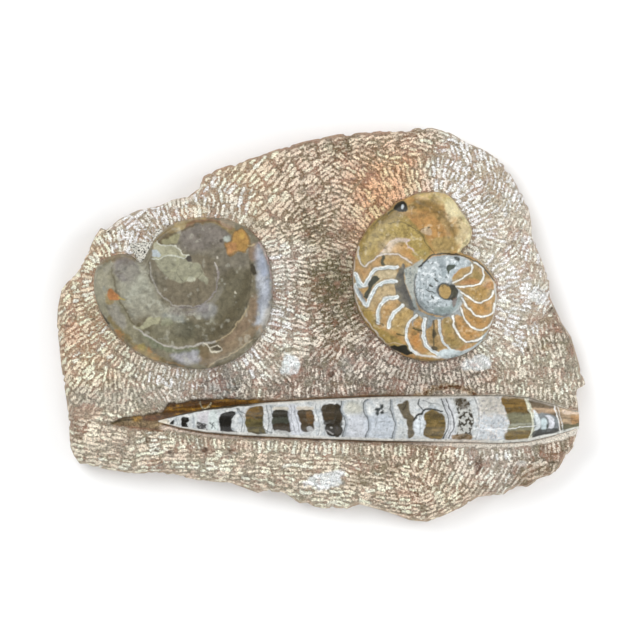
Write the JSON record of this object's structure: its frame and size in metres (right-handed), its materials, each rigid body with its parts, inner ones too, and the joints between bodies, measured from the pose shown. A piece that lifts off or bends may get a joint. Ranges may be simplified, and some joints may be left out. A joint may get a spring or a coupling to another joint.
{
  "type": "ammonite cluster plate",
  "caption": "Slab of chiselled limestone with a polished goniatite, a cut chambered ammonite and a straight orthoceras standing out of its top, lying flat on its sawn back.",
  "frame": {"origin": "on the flat sawn back, under the middle of the plate's outline", "axes": "+X to the right along the orthoceras, from its tip to its wide end; +Y up the plate, from the orthoceras to the coiled fossils; +Z out of the fossil face"},
  "size_m": [0.3498, 0.2609, 0.0472],
  "materials": {
    "chiselled_limestone": "chiselled, matt",
    "grey_brown_calcite": "polished",
    "amber_and_white_calcite": "polished",
    "white_and_brown_calcite": "polished"
  },
  "bodies": {
    "root": {"matrix_plate": "chiselled_limestone", "goniatite": "grey_brown_calcite", "ammonite": "amber_and_white_calcite", "orthoceras": "white_and_brown_calcite"}
  },
  "joints": []
}
